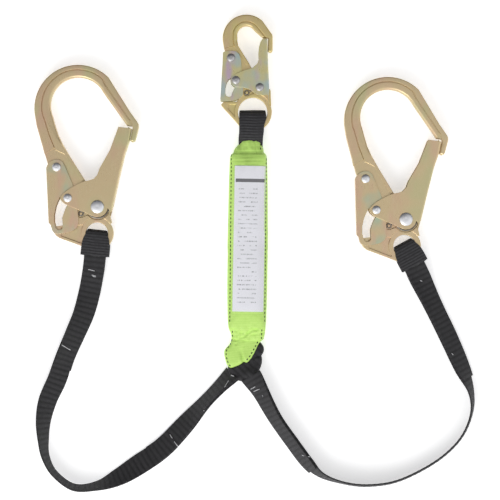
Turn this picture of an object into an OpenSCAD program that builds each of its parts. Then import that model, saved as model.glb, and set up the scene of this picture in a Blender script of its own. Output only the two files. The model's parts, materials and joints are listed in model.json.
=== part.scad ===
// Shock absorbing lanyard with a snap hook, an energy absorber pack and two legs
// that end in large rebar hooks. It lies flat: +Z is up, +Y runs from the legs' fork
// to the snap hook, and the origin is the middle of the pack's underside.

/* [Pack] */
// Width of the absorber pack across its cover
pack_w = 46; // [42:1:50]
// Length of the pack's full-width part
pack_l = 206; // [190:2:220]
// Thickness of the pack
pack_t = 26; // [24:1:28]
// Wall of the woven cover
cover_wall = 1.2; // [0.8:0.2:1.6]
// Length of the printed label
label_l = 174; // [120:2:180]
// Width of the printed label
label_w = 37; // [30:1:38]
// Lean of the label on the cover, clockwise
label_lean = 1; // [0:0.25:2]

/* [Webbing] */
// Width of the leg webbing
web_w = 26; // [25:1:28]
// Thickness of one ply of webbing
web_t = 2.4; // [2:0.2:2.8]
// Width of the webbing that the cover holds
tear_w = 34; // [30:1:36]

/* [Hook stack] */
// Half thickness of the forged hook around its pivots
body_half = 6; // [5.5:0.25:6]
// Half thickness of the raised bands on the hook's arch
band_half = 7.2; // [6.8:0.2:7.6]
// Half thickness of the eye that holds the webbing
ring_half = 5; // [4.5:0.25:5]
// Half thickness of the thin web inside the forging
web_half = 3; // [2.5:0.25:3]
// Wall of the lock lever
lock_wall = 1.8; // [1.5:0.1:1.8]
// Wall of the gate
gate_wall = 2; // [1.8:0.1:2]
// Height of the rivet heads
dome_h = 2.5; // [2:0.1:2.6]

/* [Fits] */
// Radial clearance of a pivot pin in its bore
pin_fit = 0.05; // [0.02:0.01:0.08]
// Side clearance between plates that slide
side_gap = 0.3; // [0.2:0.05:0.4]

/* [Hidden] */
$fn = 48;

gold = [0.76, 0.69, 0.50];
pale_gold = [0.74, 0.73, 0.55];
bright_steel = [0.80, 0.81, 0.84];
dark_steel = [0.50, 0.50, 0.52];
wire_grey = [0.35, 0.34, 0.33];
black_web = [0.09, 0.09, 0.10];
lime = [0.72, 0.92, 0.36];
label_grey = [0.88, 0.88, 0.90];
clear_film = [0.85, 0.88, 0.92, 0.4];
raw_web = [0.85, 0.83, 0.76];

// Levels of the hook's plates, measured from the hook's middle plane
lock_in = body_half + side_gap;
lock_out = lock_in + lock_wall;
gate_in = lock_out + side_gap;
gate_out = gate_in + gate_wall;
head_gap = 0.05;
hook_z = gate_out + head_gap + dome_h + 0.05;
ply_in = ring_half + 0.6;
ply_out = ply_in + 3.2;

// Middle of the label
label_mid = [1.9, 2];

// Places of the three eyes, and how far each hook leans to the left
snap_eye = [6.2, 153.6];
left_eye = [-180.4, 8.3];
right_eye = [188, -6.6];
left_lean = 8;
right_lean = 7;
// Direction in which the webbing leaves each eye, from straight down
left_exit = -6;
right_exit = 28.6;

// How much smaller the bowls are drawn than they are bored
bore_allowance = 0.4;

// Rebar hook: eye centre at the origin, arch upwards
rebar_eye_r = 13.3;
rebar_ring_r = 19.8;
rebar_gate_pin = [5.4, 31.5];
rebar_link_pin = [-28.3, 46.9];
rebar_lock_pin = [-36.5, 85.5];
rebar_peg = [-15.5, 26.5];
rebar_pocket_r = 15.4;
bowl_out = [-1.5, 151.5];
bowl_out_r = 52.3;
bowl_in = [-0.5, 155];
bowl_in_r = 33.5;
groove_c = [-1, 154.5];
groove_r = 43;

// Snap hook: eye centre at the origin, arch upwards
snap_eye_r = 17.6;
snap_ring_r = 22.9;
snap_gate_pin = [8.5, 29.5];
snap_link_pin = [-20, 38];
snap_lock_pin = [-26, 65];
snap_peg = [-7, 23.6];
snap_pocket_r = 8.6;
snap_bowl_out = [-7.5, 88.5];
snap_bowl_out_r = 28.5;
snap_bowl_in = [-7.5, 92.5];
snap_bowl_in_r = 11;

// Leg routes, from the pack to the hook: x, y, z, roll of the ribbon, thickness.
// A roll of 0 lies flat, and 90 stands the ribbon on its edge.
two_ply = 2 * web_t;
left_route = [
    [-18, -160, 12, 46, two_ply], [-34, -176, 13, 60, two_ply],
    [-53, -196, 13, 60, two_ply], [-76, -222, 10.6, 38, two_ply],
    [-102, -249, 8.7, 27, two_ply], [-130, -269, 6.8, 21, web_t],
    [-155, -284, 10.5, 43, web_t], [-180, -294, 13.5, 71, web_t],
    [-208, -296, 14, 80, web_t], [-231, -280, 14, 82, web_t],
    [-242, -260, 14, 77, web_t], [-245, -239, 13.5, 67, web_t],
    [-245, -216, 12, 53, web_t], [-240, -192, 9.5, 37, web_t],
    [-229, -167, 8.5, 31, web_t], [-219, -140, 10.5, 38, two_ply],
    [-207, -112, 10, 32, two_ply], [-197, -88, 8.5, 22, two_ply],
    [-190, -62, 8, 8, two_ply], [-185, -36, 11, 0, two_ply], [-182.5, -14, 13, 0, two_ply]
];
right_route = [
    [4, -162, 17.6, 12, two_ply], [15, -180, 15, 44, two_ply],
    [33, -213, 13, 57, two_ply], [54, -243, 13, 58, two_ply],
    [72, -267, 13, 60, two_ply], [88, -281, 13.5, 72, web_t],
    [112, -290, 14, 80, web_t], [141, -294, 14, 80, web_t],
    [175, -290, 14, 80, web_t], [208, -276, 14, 80, web_t],
    [237, -257, 14, 80, web_t], [258, -234, 14, 80, web_t],
    [269, -206, 14, 79, web_t], [268, -180, 13, 70, web_t],
    [257, -151, 11.5, 45, two_ply], [241, -115, 10.5, 36, two_ply],
    [226, -84, 10, 34, two_ply], [213, -57, 9.5, 22, two_ply],
    [203, -36, 11.5, 0, two_ply], [198.6, -26.4, 13, 0, two_ply]
];

// ---- outlines ----

function arc(c, r, a0, a1, n) =
    [for (i = [0:n]) c + r * [cos(a0 + (a1 - a0) * i / n), sin(a0 + (a1 - a0) * i / n)]];

rebar_outer = concat(
    [[-47, 93.5], [-49.8, 112], [-53.4, 138]],
    arc(bowl_out, bowl_out_r, 184, 38, 26),
    [[59.5, 139.2], [66, 127], [67.6, 123], [67.5, 119.5], [61.6, 104.6]]
);
rebar_inner = concat(
    [[60, 102.8], [57.3, 102.4], [55, 104.4], [60.2, 119.6], [59.4, 121.4], [53.6, 123]],
    arc(bowl_in, bowl_in_r - bore_allowance, 27.4, 188, 24),
    [[-32, 139], [-29.5, 124], [-26.3, 113.5], [-19.2, 96], [-5.3, 65]]
);
rebar_bead = concat(
    [[53.6, 123]],
    arc(bowl_in, bowl_in_r - bore_allowance, 27.4, 188, 24),
    [[-32, 139], [-29.5, 124], [-26.3, 113.5], [-19.2, 96], [-5.3, 65], [-9, 64.5],
     [-24.3, 99], [-28.6, 101.8], [-35, 106], [-39.5, 125], [-42.5, 144]],
    arc(groove_c, groove_r, 188, 40, 22),
    [[35, 172], [57.5, 128]]
);
rebar_band = concat(
    [[-48.4, 103], [-49.8, 112], [-53.4, 138]],
    arc(bowl_out, bowl_out_r, 184, 38, 26),
    [[59.5, 139.2], [66, 127], [67.6, 123], [67.5, 119.5], [61.6, 104.6],
     [60, 102.8], [57.3, 102.4], [55, 104.4], [60.2, 119.6], [59.2, 127.6], [36.2, 172.8]],
    arc(groove_c, groove_r + 0.9, 38, 188, 22),
    [[-43.4, 144], [-40.4, 125], [-36, 108.5]]
);
rebar_spine = [
    [-47, 93.5], [-45.2, 84], [-44, 76], [-41, 60], [-34.5, 52], [-24.8, 52], [-24.8, 14.5],
    [-14, 9], [14, 9], [19.6, 10], [18.4, 20], [14, 44], [3, 56], [-5.3, 65], [-19.2, 96],
    [-26.3, 113.5], [-40, 112]
];
rebar_foot = [
    [-49.3, 15.5], [-50.6, 8], [-49, 4.4], [-45, 0.6], [-8.2, -18.6], [-12, 0],
    [-18, 15.5]
];
rebar_recess = [[-41.5, 13], [-43, 3.2], [-17, -10.6], [-12, 6], [-16, 13]];
rebar_gate_shape = concat(
    [[58.6, 118.6], [43.6, 122.8], [29.8, 97], [14.4, 76.8], [10.4, 69.2], [5.5, 65.2],
     [0, 64.2], [-6, 63.8], [-13, 62.3], [-20, 59.8], [-26.5, 56.8], [-32.6, 53.2],
     [-36.4, 50], [-37.6, 47.8], [-36.4, 44.6], [-32.6, 40], [-19.2, 32.2], [-11.5, 27.4],
     [-5.8, 24]],
    arc(rebar_gate_pin, 12.3, 235, 345, 12),
    [[20.4, 23.6], [23.4, 29], [35.5, 61.4], [46, 88.3], [53.6, 103.7]]
);
rebar_gate_spine = [
    [20.4, 24], [23.4, 29], [35.5, 61.4], [46, 88.3], [53.6, 103.7], [58.6, 118.6],
    [56.4, 119.2], [51.5, 104.6], [43.9, 89], [33.3, 62], [21.2, 30]
];
rebar_lock_shape = [
    [-47.4, 89.2], [-43.4, 93.4], [-38, 94.9], [-32, 94], [-28.4, 90.6], [-26.2, 84.5],
    [-20.2, 62.4], [-19.5, 50], [-18.7, 31.7], [-19.2, 19.2], [-20.2, 14], [-23, 10],
    [-28, 7.3], [-36.5, 5.9], [-47, 6.1], [-50.4, 7.6], [-52.2, 11], [-53, 17.4],
    [-55.2, 21], [-49, 86.2]
];
rebar_lock_spine = [[-55.2, 21], [-49, 86.2], [-47, 86], [-53.2, 21]];
rebar_slot = [
    [-24.9, 47.6], [-26.4, 50.6], [-30, 51], [-37.4, 49.6], [-41.2, 44], [-44.4, 38],
    [-47.4, 29.5], [-48.5, 21], [-47.6, 13.6], [-45.4, 10.8], [-42, 10.4], [-39.4, 12],
    [-38.8, 16], [-38.2, 24.5], [-33.4, 34], [-29, 40.4], [-25.4, 44.4]
];

snap_outer = concat(
    [[-33.4, 74], [-35, 80]],
    arc(snap_bowl_out, snap_bowl_out_r, 184, 48, 20),
    [[21.8, 95.4], [23.6, 93], [24, 90.4]],
    arc([21, 74.6], 3, 0, -160, 8)
);
snap_inner = concat(
    [[18.5, 88.8], [12.4, 88.8]],
    arc(snap_bowl_in, snap_bowl_in_r - bore_allowance, 40, 180, 14),
    [[-18.4, 86], [-17.2, 79.5], [-1.5, 53.5]]
);
snap_bead = concat(
    [[12.4, 88.8]],
    arc(snap_bowl_in, snap_bowl_in_r - bore_allowance, 40, 180, 14),
    [[-18.4, 86], [-17.2, 79.5], [-4, 57.4], [-7, 56.6], [-21.6, 78], [-23, 86]],
    arc(snap_bowl_in, snap_bowl_in_r + 4.5, 180, 40, 14),
    [[15.6, 88.8]]
);
snap_band = concat(
    [[-34, 76.4], [-35, 80]],
    arc(snap_bowl_out, snap_bowl_out_r, 184, 48, 20),
    [[21.8, 95.4], [23.6, 93], [24, 90.4]],
    arc([21, 74.6], 3, 0, -160, 8),
    [[18.5, 88.8], [16.6, 88.8]],
    arc(snap_bowl_in, snap_bowl_in_r + 5.3, 40, 180, 14),
    [[-23.9, 86], [-22.6, 79]]
);
snap_spine = [
    [-33.4, 74], [-32, 72], [-31, 58.6], [-29, 50], [-25, 44], [-16.8, 44], [-16.8, 15],
    [-12, 11], [22.3, 8], [21.5, 26], [20.4, 28], [16.4, 28], [15.6, 34], [8, 40],
    [-1.5, 53.5], [-17.2, 79.5], [-30, 80]
];
snap_foot = [[-34.6, 12.6], [-37.8, 9.4], [-37.4, 7.6], [-15, -17], [-14, 2], [-16, 12.6]];
snap_recess = [[-29, 9.6], [-30, 4.6], [-17.4, -9.4], [-14, 9.6]];
snap_gate_shape = [
    [17.5, 87.4], [11.4, 87.2], [9, 83], [7.4, 77], [6.8, 70], [7.2, 62.5], [5.2, 57.6], [0, 53],
    [-6, 51.2], [-14, 48.6], [-20, 45.8], [-24.6, 42.4], [-26.8, 38.4], [-26, 34], [-23, 31],
    [-19, 30], [-12, 29.4], [-6, 28.2], [-1, 25.4], [2.6, 22], [6, 20.4], [12, 20],
    [19.6, 20.2], [19.8, 30], [18.6, 55], [18, 72]
];
snap_gate_spine = [[19.8, 30], [18.6, 55], [18, 72], [17.5, 87.4], [15.5, 87.4], [16, 72],
    [16.6, 55], [17.8, 30]];
snap_lock_shape = [
    [-35.4, 71.6], [-32.6, 73], [-27, 73.6], [-20, 72.8], [-16.2, 69.6], [-14, 62],
    [-12.8, 50], [-11.6, 40], [-11.5, 22.4], [-12.6, 18.8], [-16, 16], [-21, 13.9],
    [-30, 12.9], [-38.6, 13], [-38.4, 20], [-36, 60]
];
snap_lock_spine = [[-38.4, 16], [-36, 60], [-35.4, 70.5], [-33.5, 70.4], [-34, 60], [-36.4, 16]];
snap_slot = [
    [-17.2, 39], [-18.4, 41], [-22, 41.4], [-28.4, 39.6], [-31, 35.4], [-32.6, 29.6],
    [-32.8, 23.4], [-31.6, 19.4], [-28.6, 18.2], [-25.6, 19.2], [-24.6, 23], [-20.6, 31.4],
    [-18, 36]
];

// ---- shared shapes ----

module slab(z0, z1) {
    translate([0, 0, z0])
        linear_extrude(z1 - z0)
            children();
}

module both_faces() {
    children();
    mirror([0, 0, 1])
        children();
}

module at_snap() {
    translate([snap_eye[0], snap_eye[1], hook_z])
        children();
}

module at_left() {
    translate([left_eye[0], left_eye[1], hook_z])
        rotate(left_lean)
            children();
}

module at_right() {
    translate([right_eye[0], right_eye[1], hook_z])
        rotate(right_lean)
            children();
}

module pin_hole(p, r, half) {
    translate([p[0], p[1], -half])
        cylinder(r = r, h = 2 * half);
}

// Solid rivet with a domed head on each end
module rivet(p, shaft_r, head_r, seat) {
    dome = concat([[0, 0], [head_r, 0], [head_r, dome_h * 0.25]],
        [for (a = [15:15:90]) [head_r * cos(a), dome_h * (0.25 + 0.75 * sin(a))]]);
    translate([p[0], p[1], 0]) {
        translate([0, 0, -seat])
            cylinder(r = shaft_r, h = 2 * seat);
        both_faces()
            translate([0, 0, seat])
                rotate_extrude()
                    polygon(dome);
    }
}

// Gate: two cheeks joined by a spine, with bores for the pivot and the link rivet
module gate(shape, spine, pivot, link, pivot_r, link_r) {
    difference() {
        union() {
            both_faces()
                slab(gate_in, gate_out)
                    polygon(shape);
            slab(-gate_out, gate_out)
                polygon(spine);
        }
        pin_hole(pivot, pivot_r + pin_fit, gate_out + 1);
        pin_hole(link, link_r, gate_out + 1);
    }
}

// Lock lever: two plates joined by a spine, with a bore and a curved slot
module lock(shape, spine, slot, pivot, pivot_r) {
    difference() {
        union() {
            both_faces()
                slab(lock_in, lock_out)
                    polygon(shape);
            slab(-lock_out, lock_out)
                polygon(spine);
        }
        pin_hole(pivot, pivot_r + pin_fit, lock_out + 1);
        both_faces()
            slab(lock_in - 1, lock_out + 1)
                polygon(slot);
    }
}

// Pocket in one face of a forging for a coil around the gate's pin and its hooked end.
// Its straight edges lie just inside the peg's circle, so that they cross it cleanly.
module spring_pocket(pin, pin_r, peg, peg_r) {
    edge = 0.96 * peg_r * [peg[1] - pin[1], pin[0] - peg[0]] / norm(pin - peg);
    translate(pin)
        circle(pin_r);
    translate(peg)
        circle(peg_r);
    polygon([peg + edge, pin + edge, pin - edge, peg - edge]);
}

module spring_peg(p) {
    both_faces()
        translate([p[0], p[1], web_half - 0.5])
            cylinder(r = 1.6, h = 2.9);
}

// A coil on each face of the forging's thin web, its end hooked over a peg
module gate_springs(pivot, coil_r, wire_r, peg) {
    loop_r = 2.6;
    reach = norm(peg - pivot);
    both_faces()
        translate([pivot[0], pivot[1], web_half + wire_r + 0.2])
            rotate(atan2(peg[1] - pivot[1], peg[0] - pivot[0])) {
                rotate_extrude()
                    translate([coil_r, 0])
                        circle(wire_r);
                translate([coil_r, 0, 0])
                    rotate([0, 90, 0])
                        cylinder(r = wire_r * 0.9, h = reach - loop_r - coil_r);
                translate([reach, 0, 0])
                    rotate_extrude()
                        translate([loop_r, 0])
                            circle(wire_r * 0.9);
            }
}

// Close-wound coil around the lock's pivot, with a leg towards the lock's spine
module lock_spring(pivot, coil_r, wire_r, turns, leg) {
    translate([pivot[0], pivot[1], 0]) {
        for (i = [0:turns - 1])
            translate([0, 0, (i - (turns - 1) / 2) * wire_r * 1.8])
                rotate_extrude()
                    translate([coil_r, 0])
                        circle(wire_r);
        translate([-coil_r, 0, 0])
            rotate([90, 0, 0])
                cylinder(r = wire_r * 0.9, h = leg);
    }
}

// ---- rebar hook pieces ----

module rebar_body() {
    difference() {
        union() {
            slab(-ring_half, ring_half) {
                circle(rebar_ring_r, $fn = 96);
                polygon(rebar_foot);
            }
            slab(-body_half, body_half) {
                difference() {
                    polygon(rebar_spine);
                    circle(rebar_ring_r);
                }
                polygon(concat(rebar_outer, rebar_inner, [[-19, 60], [-40, 80]]));
            }
            slab(-band_half, band_half)
                polygon(rebar_bead);
            slab(-band_half, band_half)
                polygon(rebar_band);
        }
        pin_hole([0, 0], rebar_eye_r, 10);
        pin_hole(bowl_in, bowl_in_r, 10);
        pin_hole(rebar_gate_pin, 4.5, 10);
        pin_hole(rebar_lock_pin, 3.2, 10);
        both_faces()
            slab(web_half, 10)
                spring_pocket(rebar_gate_pin, rebar_pocket_r, rebar_peg, 5);
        both_faces()
            slab(web_half, 10)
                difference() {
                    polygon(rebar_recess);
                    circle(rebar_ring_r - 0.8);
                }
        pin_hole(rebar_lock_pin, 7.6, 4);
        translate([-52, 71, -4])
            cube([12.2, 14.5, 8]);
    }
    spring_peg(rebar_peg);
}

module rebar_gate() {
    gate(rebar_gate_shape, rebar_gate_spine, rebar_gate_pin, rebar_link_pin, 4.5, 2.6);
}

module rebar_lock() {
    lock(rebar_lock_shape, rebar_lock_spine, rebar_slot, rebar_lock_pin, 3.2);
}

// ---- snap hook pieces ----

module snap_forging() {
    difference() {
        union() {
            slab(-ring_half, ring_half) {
                circle(snap_ring_r, $fn = 96);
                polygon(snap_foot);
            }
            slab(-body_half, body_half) {
                difference() {
                    polygon(snap_spine);
                    circle(snap_ring_r);
                }
                polygon(concat(snap_outer, snap_inner, [[-12, 50], [-28, 62]]));
            }
            slab(-band_half, band_half)
                polygon(snap_bead);
            slab(-band_half, band_half)
                polygon(snap_band);
        }
        pin_hole([0, 0], snap_eye_r, 10);
        pin_hole(snap_bowl_in, snap_bowl_in_r, 10);
        pin_hole(snap_gate_pin, 3, 10);
        pin_hole(snap_lock_pin, 2.8, 10);
        both_faces()
            slab(web_half, 10)
                spring_pocket(snap_gate_pin, snap_pocket_r, snap_peg, 4.2);
        both_faces()
            slab(web_half, 10)
                difference() {
                    polygon(snap_recess);
                    circle(snap_ring_r - 1);
                }
        pin_hole(snap_lock_pin, 6.2, 3.6);
        translate([-36, 54, -3.6])
            cube([6.8, 11, 7.2]);
    }
    spring_peg(snap_peg);
}

// ---- pack ----

// Rounded oblong, flat along the middle of its top and bottom
function oblong(w, h, n) =
    [for (i = [0.5:n - 0.5]) let (a = 360 * i / n, c = cos(a), s = sin(a))
        [w / 2 * sign(c) * sqrt(abs(c)), h / 2 * sign(s) * min(1, 1.03 * sqrt(abs(s)))]];

// Lofted sleeve, open at both ends, through oblong sections given as y, x, z, width, height
module sleeve(sections, wall, n) {
    m = len(sections);
    rings = [for (w = [0, wall]) for (s = sections) for (p = oblong(s[3] - 2 * w, s[4] - 2 * w, n))
        [s[1] + p[0], s[0], s[2] + p[1]]];
    inner = m * n;
    outside = [for (k = [0:m - 2]) for (i = [0:n - 1]) let (j = (i + 1) % n, a = k * n, b = a + n)
        each [[a + i, b + i, b + j], [a + i, b + j, a + j]]];
    inside = [for (f = outside) [f[0] + inner, f[2] + inner, f[1] + inner]];
    rims = [for (i = [0:n - 1]) let (j = (i + 1) % n, e = inner - n)
        each [[i, j, j + inner], [i, j + inner, i + inner],
            [e + i, e + j + inner, e + j], [e + i, e + i + inner, e + j + inner]]];
    polyhedron(rings, concat(outside, inside, rims));
}

module pack_cover() {
    mid = pack_t / 2;
    top = pack_l / 2;
    color(lime)
        sleeve([
            [-top - 9, 0.5, 12.5, 42, 20], [-top - 3, 0, 12.8, 44, 22],
            [-top + 6, -0.7, mid, pack_w, pack_t], [30, 0.2, mid, pack_w, pack_t],
            [top - 6, 0.7, mid, pack_w, pack_t], [top + 1, 1, 12.9, 43, 21],
            [top + 5, 1.4, 12.9, 36, 17], [top + 15, 3.2, 13, 31, 15]
        ], cover_wall, 28);
}

module on_cover(gap) {
    translate([label_mid[0], label_mid[1], pack_t + gap])
        rotate(-label_lean)
            children();
}

module label() {
    color(label_grey)
        on_cover(0.1)
            translate([-label_w / 2, -label_l / 2])
                cube([label_w, label_l, 0.3]);
}

module label_window() {
    color(clear_film)
        on_cover(0.5)
            translate([-label_w / 2 - 1, -label_l / 2 - 1])
                cube([label_w + 2, label_l + 2, 0.3]);
}

// Webbing folded back and forth in a flat stack
module folded_stack(w, l, z0, ply, gap, n) {
    pitch = ply + gap;
    for (i = [0:n - 1])
        translate([-w / 2, -l / 2, z0 + i * pitch])
            cube([w, l, ply]);
    for (i = [0:n - 2])
        translate([-w / 2, i % 2 == 0 ? l / 2 - 2 : -l / 2, z0 + i * pitch + ply / 2])
            cube([w, 2, pitch]);
}

module tear_webbing() {
    color(raw_web)
        folded_stack(tear_w, 2 * 90, 5.7, 2, 0.5, 7);
}

module backup_strap() {
    color(black_web)
        folded_stack(tear_w - 8, 2 * 88, 2, 1.3, 0.6, 2);
}

// Webbing around an eye: one ply on each face, joined through the hole
module eye_wrap(hole_r, top, width, foot_width, reach) {
    ply = [[-width / 2, -hole_r * 0.3], [-width / 2 + 1.6, top - 1], [-width / 2 + 3.4, top],
        [width / 2 - 3.4, top], [width / 2 - 1.6, top - 1], [width / 2, -hole_r * 0.3],
        [foot_width / 2, -reach], [-foot_width / 2, -reach]];
    both_faces()
        slab(ply_in, ply_out)
            intersection() {
                polygon(ply);
                union() {
                    circle(hole_r - 0.4);
                    translate([-40, -80])
                        square([80, 78]);
                }
            }
    slab(-ply_in, ply_in)
        intersection() {
            polygon(ply);
            circle(hole_r - 0.4);
        }
}

module top_loop() {
    color(black_web) {
        at_snap() {
            eye_wrap(snap_eye_r, 2.2, 34, 30, 35);
            slab(-ply_in, ply_in)
                translate([-15, -35])
                    square([29, 10.6]);
        }
        translate([-9, pack_l / 2 - 12, 9])
            cube([25, 28.6, 8]);
    }
}

module bottom_loop() {
    face = [[-13, -94], [13.5, -94], [13.5, -113.5], [19.4, -116], [19.4, -121], [14, -122],
        [9, -134], [4, -142], [-1, -147], [-3, -146.2], [-22, -153.2], [-25, -148],
        [-27.6, -139], [-28, -132], [-20.5, -122], [-19, -116], [-13, -113.5]];
    fold = [[-22, -153.2], [-3, -146.2], [-4.2, -143.2], [-22.8, -150.2]];
    color(lime) {
        slab(4.6, 7)
            polygon(face);
        slab(15, 17.4)
            polygon(face);
        slab(4.6, 17.4)
            polygon(fold);
        translate([-13, -97, 4.6])
            cube([26.5, 4, 12.8]);
    }
}

// The legs' common eye, doubled webbing that passes through the bottom loop
module leg_eye() {
    color(black_web)
        slab(8, 13.7)
            polygon([[-14, -145.8], [-12, -134], [-6, -126], [13.5, -121.5], [19, -127],
                [19.6, -133], [16.6, -139], [17.6, -143], [16, -152], [12.5, -157], [11, -162],
                [0, -163], [-12, -157], [-12, -151.4], [-2.2, -147.8], [-1.2, -145],
                [-3.4, -141.8]]);
}

// ---- legs ----

function blend_point(a, b, c, d, t) =
    0.5 * (2 * b + (c - a) * t + (2 * a - 5 * b + 4 * c - d) * t * t
        + (3 * b - a - 3 * c + d) * t * t * t);

function smooth(p) =
    let (n = len(p) - 1)
    [for (i = [0:n - 1]) for (t = [0, 0.5])
        blend_point(p[max(i - 1, 0)], p[i], p[i + 1], p[min(i + 2, n)], t), p[n]];

// Flat ribbon along a route, rolled about its own length
module ribbon(route) {
    p = smooth(route);
    n = len(p);
    points = [for (i = [0:n - 1])
        let (a = p[max(i - 1, 0)], b = p[min(i + 1, n - 1)], c = p[i],
            h = [b[0] - a[0], b[1] - a[1]] / norm([b[0] - a[0], b[1] - a[1]]),
            across = [-h[1] * cos(c[3]), h[0] * cos(c[3]), sin(c[3])] * web_w / 2,
            up = [h[1] * sin(c[3]), -h[0] * sin(c[3]), cos(c[3])] * c[4] / 2,
            o = [c[0], c[1], c[2]])
        each [o + across + up, o - across + up, o - across - up, o + across - up]];
    sides = [for (k = [0:n - 2]) for (i = [0:3]) let (j = (i + 1) % 4, a = 4 * k, b = 4 * k + 4)
        each [[a + i, b + i, b + j], [a + i, b + j, a + j]]];
    polyhedron(points, concat([[0, 1, 2, 3]], sides, [[4 * n - 1, 4 * n - 2, 4 * n - 3, 4 * n - 4]]));
}

module left_leg() {
    color(black_web)
        ribbon(left_route);
}

module right_leg() {
    color(black_web)
        ribbon(right_route);
}

module left_wear_pad() {
    color(black_web)
        translate([left_eye[0], left_eye[1], hook_z])
            rotate(left_exit)
                eye_wrap(rebar_eye_r, 5, 26, 33, 27);
}

module right_wear_pad() {
    color(black_web)
        translate([right_eye[0], right_eye[1], hook_z])
            rotate(right_exit)
                eye_wrap(rebar_eye_r, 5, 26, 33, 27);
}

// ---- hooks in place ----

module snap_body() {
    color(gold)
        at_snap()
            snap_forging();
}

module snap_gate() {
    color(pale_gold)
        at_snap()
            gate(snap_gate_shape, snap_gate_spine, snap_gate_pin, snap_link_pin, 3, 2.3);
}

module snap_lock() {
    color(pale_gold)
        at_snap()
            lock(snap_lock_shape, snap_lock_spine, snap_slot, snap_lock_pin, 2.8);
}

module snap_gate_pivot() {
    color(dark_steel)
        at_snap()
            rivet(snap_gate_pin, 3, 5, gate_out + head_gap);
}

module snap_lock_pivot() {
    color(dark_steel)
        at_snap()
            rivet(snap_lock_pin, 2.8, 5, lock_out + head_gap);
}

module snap_link_rivet() {
    color(dark_steel)
        at_snap()
            rivet(snap_link_pin, 2.3, 5, gate_out + head_gap);
}

module snap_gate_springs() {
    color(wire_grey)
        at_snap()
            gate_springs(snap_gate_pin, 7.2, 0.8, snap_peg);
}

module snap_lock_spring() {
    color(wire_grey)
        at_snap()
            lock_spring(snap_lock_pin, 4.4, 0.6, 5, 9);
}

module left_body() {
    color(gold)
        at_left()
            rebar_body();
}

module left_gate() {
    color(gold)
        at_left()
            rebar_gate();
}

module left_lock() {
    color(pale_gold)
        at_left()
            rebar_lock();
}

module left_gate_pivot() {
    color(bright_steel)
        at_left()
            rivet(rebar_gate_pin, 4.5, 8, gate_out + head_gap);
}

module left_lock_pivot() {
    color(bright_steel)
        at_left()
            rivet(rebar_lock_pin, 3.2, 5.3, lock_out + head_gap);
}

module left_link_rivet() {
    color(bright_steel)
        at_left()
            rivet(rebar_link_pin, 2.6, 5.2, gate_out + head_gap);
}

module left_gate_springs() {
    color(wire_grey)
        at_left()
            gate_springs(rebar_gate_pin, 13.2, 0.95, rebar_peg);
}

module left_lock_spring() {
    color(wire_grey)
        at_left()
            lock_spring(rebar_lock_pin, 5.2, 0.7, 5, 11);
}

module right_body() {
    color(gold)
        at_right()
            rebar_body();
}

module right_gate() {
    color(gold)
        at_right()
            rebar_gate();
}

module right_lock() {
    color(pale_gold)
        at_right()
            rebar_lock();
}

module right_gate_pivot() {
    color(bright_steel)
        at_right()
            rivet(rebar_gate_pin, 4.5, 8, gate_out + head_gap);
}

module right_lock_pivot() {
    color(bright_steel)
        at_right()
            rivet(rebar_lock_pin, 3.2, 5.3, lock_out + head_gap);
}

module right_link_rivet() {
    color(bright_steel)
        at_right()
            rivet(rebar_link_pin, 2.6, 5.2, gate_out + head_gap);
}

module right_gate_springs() {
    color(wire_grey)
        at_right()
            gate_springs(rebar_gate_pin, 13.2, 0.95, rebar_peg);
}

module right_lock_spring() {
    color(wire_grey)
        at_right()
            lock_spring(rebar_lock_pin, 5.2, 0.7, 5, 11);
}

pack_cover();
label();
label_window();
tear_webbing();
backup_strap();
top_loop();
bottom_loop();
leg_eye();
snap_body();
snap_gate();
snap_lock();
snap_gate_pivot();
snap_lock_pivot();
snap_link_rivet();
snap_gate_springs();
snap_lock_spring();
left_leg();
left_wear_pad();
left_body();
left_gate();
left_lock();
left_gate_pivot();
left_lock_pivot();
left_link_rivet();
left_gate_springs();
left_lock_spring();
right_leg();
right_wear_pad();
right_body();
right_gate();
right_lock();
right_gate_pivot();
right_lock_pivot();
right_link_rivet();
right_gate_springs();
right_lock_spring();
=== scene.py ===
import json
import math

import bmesh
import bpy
from mathutils import Matrix, Vector, geometry, noise
from mathutils.bvhtree import BVHTree


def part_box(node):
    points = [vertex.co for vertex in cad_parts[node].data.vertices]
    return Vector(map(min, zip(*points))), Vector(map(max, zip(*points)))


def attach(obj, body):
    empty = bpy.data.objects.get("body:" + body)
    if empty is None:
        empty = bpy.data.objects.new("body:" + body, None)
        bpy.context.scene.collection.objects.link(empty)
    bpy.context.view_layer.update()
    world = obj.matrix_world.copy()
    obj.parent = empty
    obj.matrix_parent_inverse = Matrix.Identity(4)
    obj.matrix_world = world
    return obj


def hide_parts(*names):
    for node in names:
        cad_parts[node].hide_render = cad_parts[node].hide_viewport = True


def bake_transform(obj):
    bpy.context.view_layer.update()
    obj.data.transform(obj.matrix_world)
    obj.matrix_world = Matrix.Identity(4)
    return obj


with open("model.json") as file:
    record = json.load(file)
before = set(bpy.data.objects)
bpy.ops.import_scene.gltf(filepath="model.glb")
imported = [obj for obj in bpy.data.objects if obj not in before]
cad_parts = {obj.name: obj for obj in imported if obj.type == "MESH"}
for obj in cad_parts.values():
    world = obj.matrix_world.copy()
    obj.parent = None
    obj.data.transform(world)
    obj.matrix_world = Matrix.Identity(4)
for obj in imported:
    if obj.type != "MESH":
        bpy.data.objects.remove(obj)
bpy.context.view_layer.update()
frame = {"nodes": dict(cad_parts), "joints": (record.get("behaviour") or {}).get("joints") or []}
scene = bpy.context.scene
joints = {j["name"]: j for j in frame["joints"]}
print("stage: frame loaded,", len(frame["nodes"]), "nodes")


# camera, straight above the flat lanyard
cameraSet = {"height": 2.5, "aim": (0.003, -0.0114), "level": 0.013, "span": 0.6, "sensor": 36}


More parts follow.
